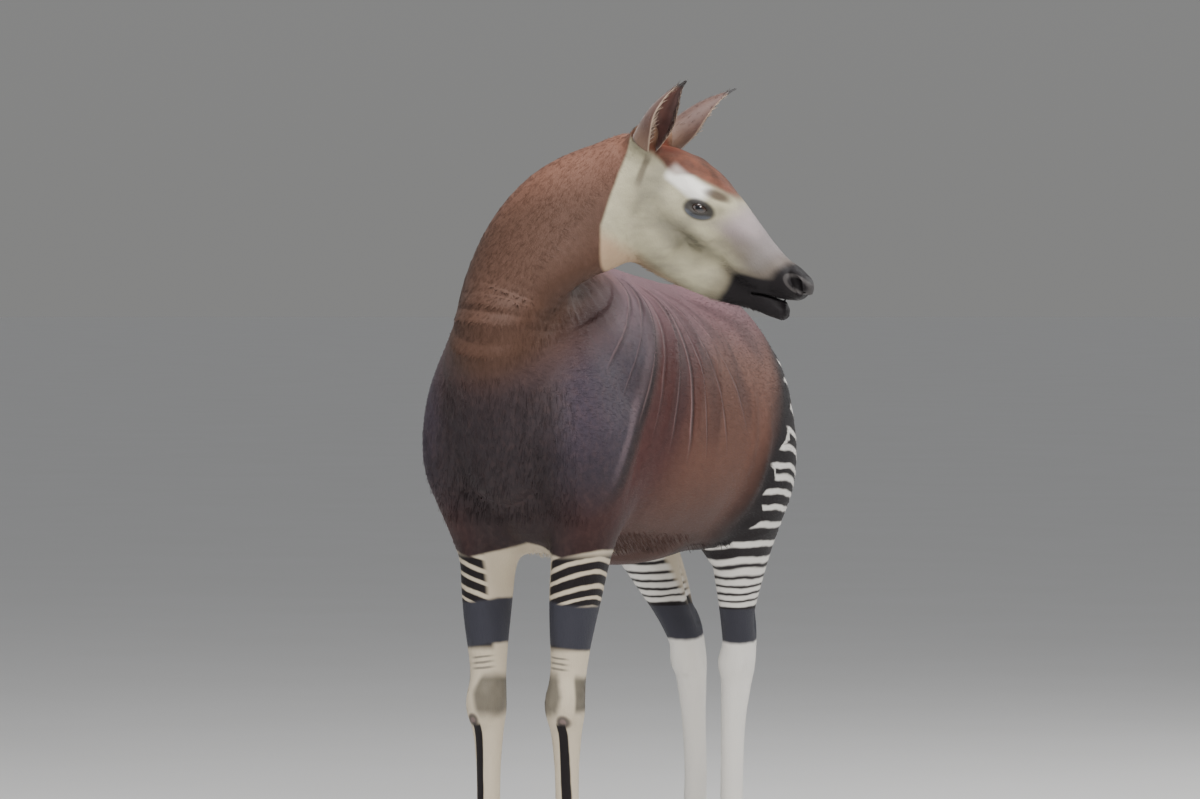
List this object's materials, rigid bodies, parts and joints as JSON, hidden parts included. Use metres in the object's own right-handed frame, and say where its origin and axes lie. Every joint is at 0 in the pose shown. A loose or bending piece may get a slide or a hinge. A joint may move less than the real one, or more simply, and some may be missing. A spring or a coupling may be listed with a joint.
{
  "type": "okapi, life-size still model",
  "caption": "Life-size okapi cow standing on all fours, head turned over the left shoulder, striped rump and legs",
  "frame": {"origin": "centre of the model's box on the floor", "axes": "X: -X is the animal's right side; Y: -Y is the way its body faces; Z: up"},
  "size_m": [0.9048, 1.4154, 1.8836],
  "materials": {
    "body_coat": "short velvety dark chestnut hair with a sheen",
    "neck_coat": "short taupe brown hair",
    "face_coat": "very short pale grey hair, darker on the muzzle",
    "ear_coat": "short brown hair with pale rims",
    "leg_coat": "short cream hair with near-black stripes and bands",
    "tail_coat": "short brown hair with a dark tuft",
    "nose_skin": "bare dark skin of the nose, lips and lids",
    "eye": "wet dark eye",
    "hoof": "dark horn"
  },
  "bodies": {
    "root": {"torso": "body_coat", "neck": "neck_coat", "head": "face_coat", "ear_left": "ear_coat", "ear_right": "ear_coat", "eye_left": "eye", "eye_right": "eye", "leg_fore_left": "leg_coat", "leg_fore_right": "leg_coat", "leg_hind_left": "leg_coat", "leg_hind_right": "leg_coat", "claw_fore_left_inner": "hoof", "claw_fore_left_outer": "hoof", "claw_fore_right_inner": "hoof", "claw_fore_right_outer": "hoof", "claw_hind_left_inner": "hoof", "claw_hind_left_outer": "hoof", "claw_hind_right_inner": "hoof", "claw_hind_right_outer": "hoof", "tail": "tail_coat"}
  },
  "joints": []
}
